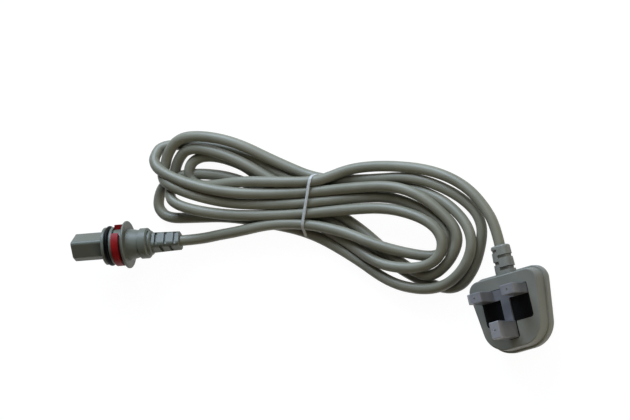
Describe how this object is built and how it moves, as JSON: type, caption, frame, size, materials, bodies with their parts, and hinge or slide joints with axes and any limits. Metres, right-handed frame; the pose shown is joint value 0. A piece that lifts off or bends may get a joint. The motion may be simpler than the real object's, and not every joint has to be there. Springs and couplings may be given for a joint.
{
  "type": "uk three pin plug",
  "caption": "Moulded mains plug with a clear pin guard, its round lead wound into a tied hank and ending in a small round appliance connector.",
  "frame": {"origin": "on the floor under the middle of the plug, which lies on its flat back", "axes": "+X from the neutral pin to the line pin, +Y from the earth pin towards the cord's exit, +Z from the flat back to the pins' tips"},
  "size_m": [0.2977, 0.1833, 0.0419],
  "materials": {
    "body_grey": "fine satin",
    "connector_grey": "fine satin",
    "insert_black": "semi gloss",
    "guard_clear": "translucent, semi gloss",
    "pin_brass": "polished",
    "sleeve_black": "satin",
    "fuse_ceramic": "glazed",
    "fuse_cap": "polished",
    "core_brown": "satin",
    "core_blue": "satin",
    "core_earth": "satin",
    "cord_grey": "satin",
    "tie_grey": "satin",
    "seal_black": "satin",
    "ring_red": "satin"
  },
  "bodies": {
    "root": {"plug_body": "body_grey", "pin_carrier": "insert_black", "fuse_carrier": "insert_black", "fuse_tube": "fuse_ceramic", "fuse_cap_left": "fuse_cap", "fuse_cap_right": "fuse_cap", "line_fuse_clip": "pin_brass", "load_fuse_clip": "pin_brass", "line_pin": "pin_brass", "neutral_pin": "pin_brass", "earth_pin": "pin_brass", "line_pin_sleeve": "sleeve_black", "neutral_pin_sleeve": "sleeve_black", "line_crimp": "pin_brass", "neutral_crimp": "pin_brass", "earth_crimp": "pin_brass", "line_core": "core_brown", "neutral_core": "core_blue", "earth_core": "core_earth", "plug_cord_end": "cord_grey", "pin_guard": "guard_clear", "cord_plug_run": "cord_grey", "cord_hank": "cord_grey", "hank_tie": "tie_grey", "cord_connector_run": "cord_grey", "connector_body": "connector_grey", "connector_shell": "connector_grey", "seal_ring": "seal_black", "lock_ring": "ring_red", "line_contact": "pin_brass", "neutral_contact": "pin_brass", "earth_contact": "pin_brass", "connector_line_core": "core_brown", "connector_neutral_core": "core_blue", "connector_earth_core": "core_earth", "connector_cord_end": "cord_grey"}
  },
  "joints": []
}
